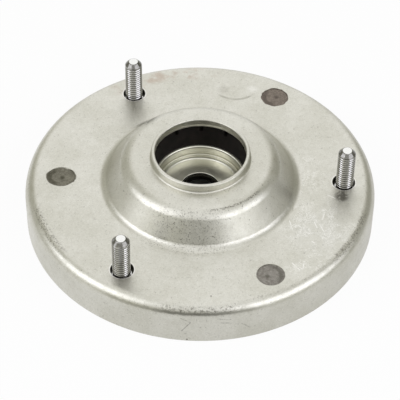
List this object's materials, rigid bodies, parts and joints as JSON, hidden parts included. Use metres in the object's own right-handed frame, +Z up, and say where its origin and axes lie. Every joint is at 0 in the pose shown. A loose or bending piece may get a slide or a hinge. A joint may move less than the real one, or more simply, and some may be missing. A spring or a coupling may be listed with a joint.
{
  "type": "strut support mount",
  "caption": "Round pressed steel strut mount: skirted flange and dome with threaded studs, a short collar and a rubber-held cup for the damper rod.",
  "frame": {"origin": "on the mount's axis, in the plane of the skirt's lower rim", "axes": "+Z up along the mount's axis, out of the collar and along the studs; +X through the first stud"},
  "size_m": [0.1594, 0.1594, 0.0397],
  "materials": {
    "shell_zinc": "satin zinc plate, pale and warm, lightly scuffed",
    "plate_zinc": "satin zinc plate",
    "stud_steel": "bright plated thread",
    "core_steel": "satin zinc plate",
    "liner_steel": "satin zinc plate",
    "black_rubber": "moulded, matt, brownish black"
  },
  "bodies": {
    "housing": {"upper_shell": "shell_zinc", "lower_shell": "plate_zinc", "stud_1": "stud_steel", "stud_2": "stud_steel", "stud_3": "stud_steel", "upper_rubber": "black_rubber", "lower_rubber": "black_rubber"},
    "rod_seat": {"core_cup": "core_steel", "seat_liner": "liner_steel"}
  },
  "joints": [
    {"name": "rod_seat_give", "type": "slide", "parent": "housing", "child": "rod_seat", "axis": [0, 0, 1], "range_m": [-0.003, 0.003], "stiffness_N_per_m": 400000, "deforming": ["upper_rubber", "lower_rubber"]}
  ]
}
